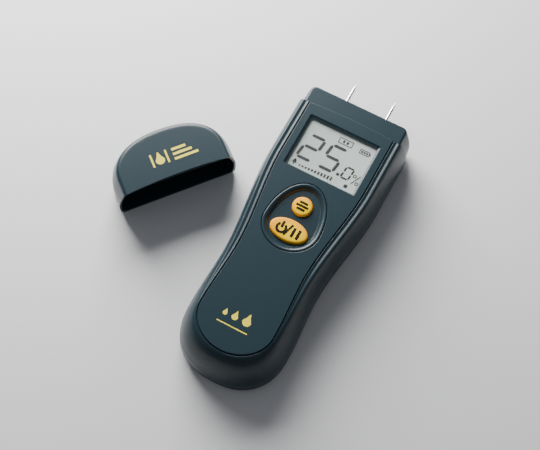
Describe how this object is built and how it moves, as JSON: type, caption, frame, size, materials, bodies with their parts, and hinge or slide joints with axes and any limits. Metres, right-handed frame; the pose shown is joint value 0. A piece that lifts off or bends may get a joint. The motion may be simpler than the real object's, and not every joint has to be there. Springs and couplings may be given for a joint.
{
  "type": "moisture meter",
  "caption": "Handheld two-pin wood moisture meter with a waisted casing, display, two keys and a pull-off pin cap lying beside it.",
  "frame": {"origin": "centre of the meter's flat back face, just above the joint between back casing and battery door", "axes": "+Y along the meter toward the electrode pins, +Z out of the display face, +X to the right of the display"},
  "size_m": [0.1236, 0.1681, 0.0262],
  "materials": {
    "casing": "satin moulded ABS with a fine grain",
    "bezel": "satin moulded ABS",
    "key": "glossy yellow keycap with dark printed marks",
    "switch": "black nylon",
    "window": "clear acrylic",
    "lcd": "reflective liquid crystal glass with dark segments",
    "frame_white": "white moulded plastic",
    "zebra": "conductive elastomer",
    "board": "glass-epoxy board with green solder mask",
    "chip": "black epoxy package",
    "steel": "plated steel",
    "capacitor": "shrink sleeve",
    "resistor": "painted ceramic with colour bands",
    "trimmer": "moulded blue plastic",
    "brass": "turned brass",
    "pin_steel": "polished stainless steel",
    "lead_grey": "PVC insulation",
    "lead_red": "PVC insulation",
    "lead_black": "PVC insulation",
    "battery": "printed metal jacket",
    "foam": "closed-cell foam"
  },
  "bodies": {
    "meter": {"front_casing": "casing", "keypad_bezel": "bezel", "switch_bodies": "switch", "window_lens": "window", "lcd_glass": "lcd", "lcd_holder": "frame_white", "zebra_strips": "zebra", "main_pcb": "board", "controller_chip": "chip", "amplifier_chips": "chip", "crystal": "steel", "capacitors": "capacitor", "resistors": "resistor", "trimmer_body": "trimmer", "trimmer_rotor": "frame_white", "electrode_block": "frame_white", "electrode_sockets": "brass", "electrode_pins": "pin_steel", "sensor_leads": "lead_grey", "battery": "battery", "battery_terminals": "steel", "battery_snap": "switch", "battery_lead_red": "lead_red", "battery_lead_black": "lead_black", "back_casing": "casing", "case_screws": "steel", "pcb_screws": "steel"},
    "mode_key": {"mode_button": "key", "mode_plunger": "switch"},
    "power_key": {"power_button": "key", "power_plunger": "switch"},
    "door": {"battery_door": "casing", "door_pad": "foam"},
    "cap": {"protective_cap": "casing"}
  },
  "joints": [
    {"name": "mode_press", "type": "slide", "parent": "meter", "child": "mode_key", "axis": [0, 0, -1], "range_m": [0, 0.0005], "stiffness_N_per_m": 400, "springref_m": -0.001},
    {"name": "power_press", "type": "slide", "parent": "meter", "child": "power_key", "axis": [0, 0, -1], "range_m": [0, 0.0005], "stiffness_N_per_m": 400, "springref_m": -0.001},
    {"name": "door_slide", "type": "slide", "parent": "meter", "child": "door", "axis": [0, -1, 0], "range_m": [0, 0.076]},
    {"name": "cap_lift", "type": "slide", "parent": "meter", "child": "cap", "axis": [0, 0, 1], "range_m": [0, 0.06]}
  ]
}
